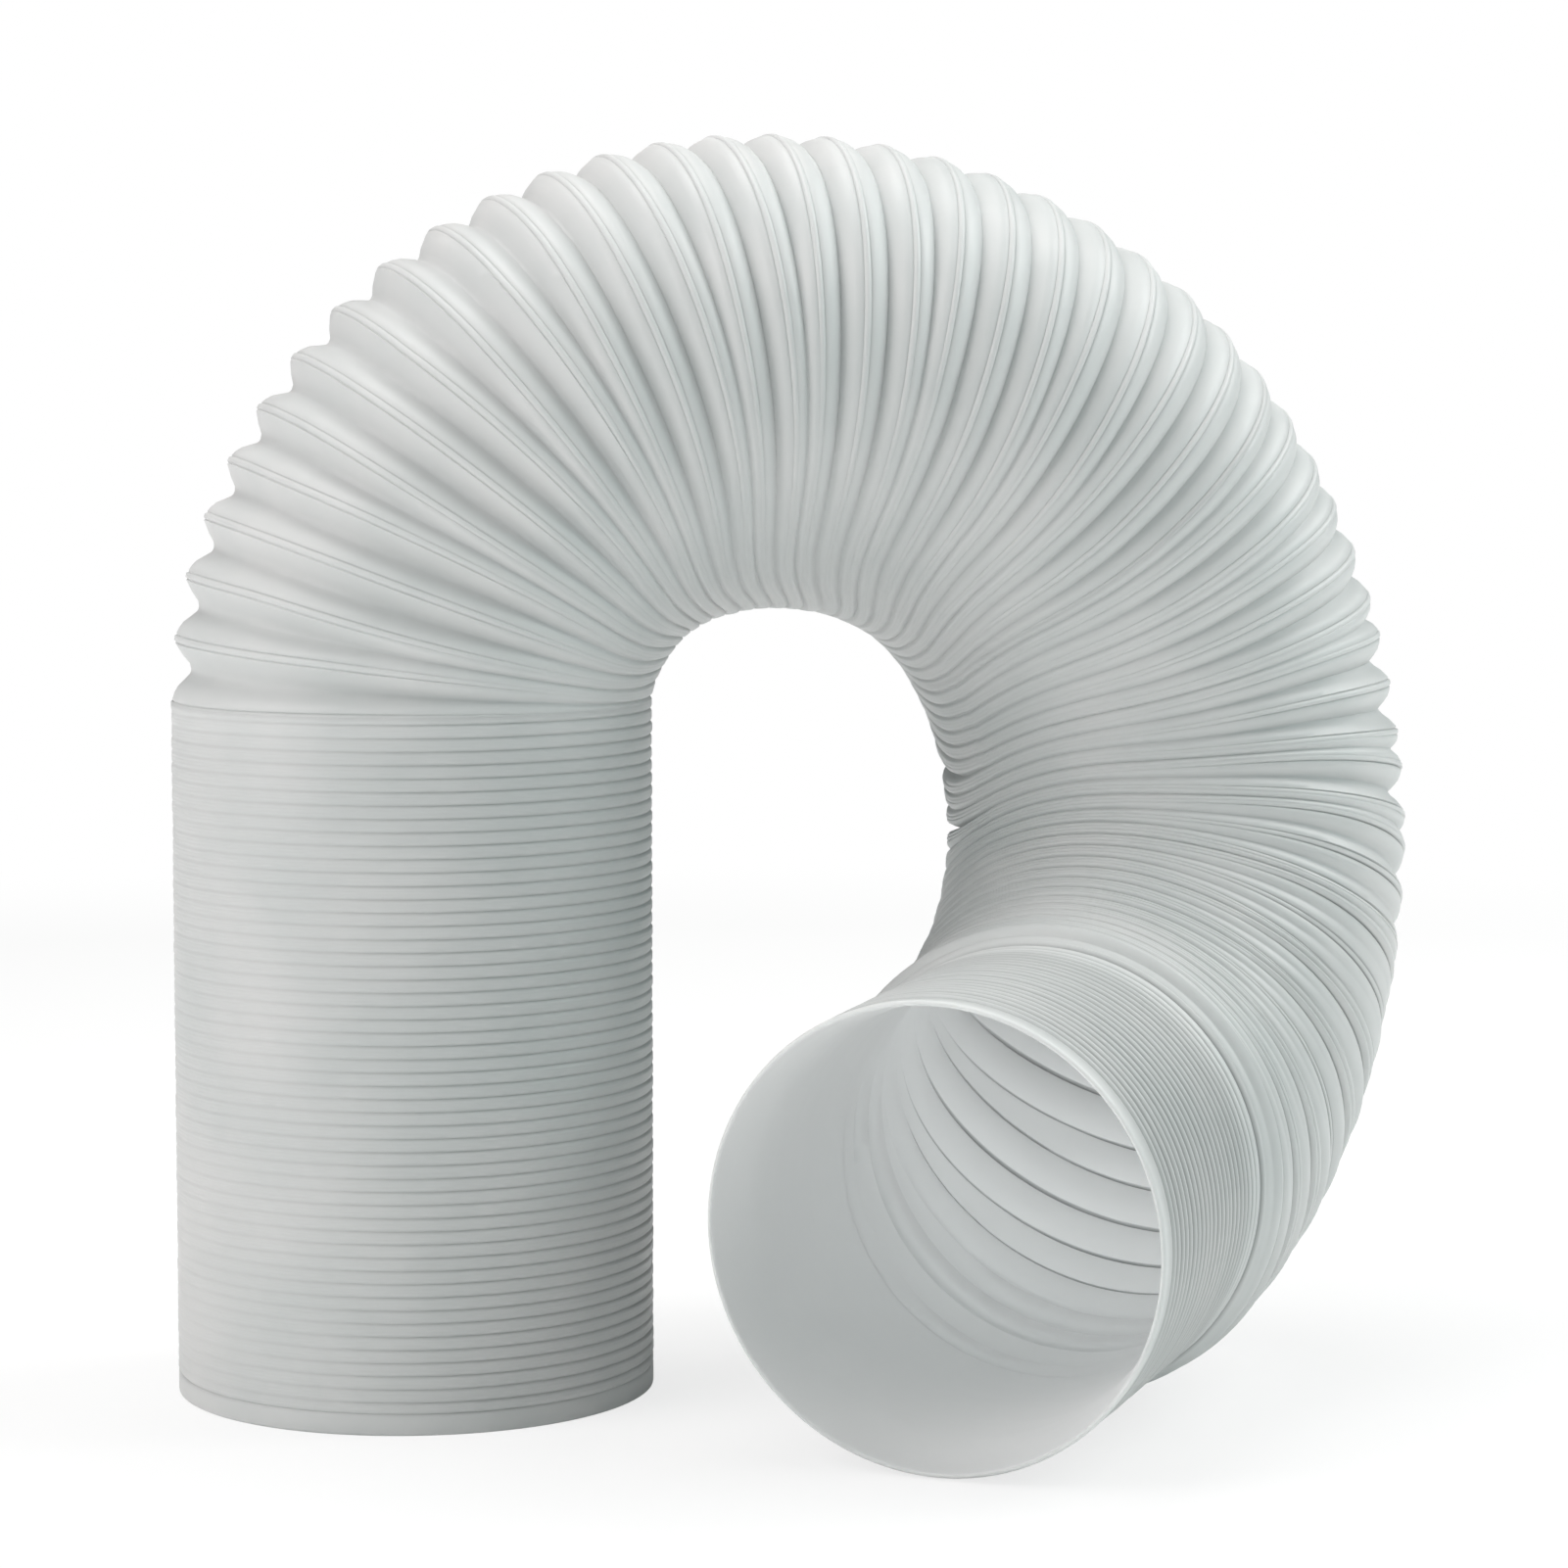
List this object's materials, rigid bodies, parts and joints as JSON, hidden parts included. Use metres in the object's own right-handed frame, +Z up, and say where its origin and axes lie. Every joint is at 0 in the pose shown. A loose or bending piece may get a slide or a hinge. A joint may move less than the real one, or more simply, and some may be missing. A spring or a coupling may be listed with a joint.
{
  "type": "air conditioner exhaust hose",
  "caption": "Flexible corrugated round duct that stands on one closed-up end, arches over and lies with its open end on the floor; carries warm air away",
  "frame": {"origin": "middle of the footprint, on the floor", "axes": "+Z up out of the floor, +X from the standing column towards the leg, the open end of the lying section faces -Y"},
  "size_m": [0.3944, 0.3036, 0.3937],
  "materials": {
    "white_plastic": "satin white-grey moulded polypropylene"
  },
  "bodies": {
    "root": {"hose": "white_plastic"}
  },
  "joints": []
}
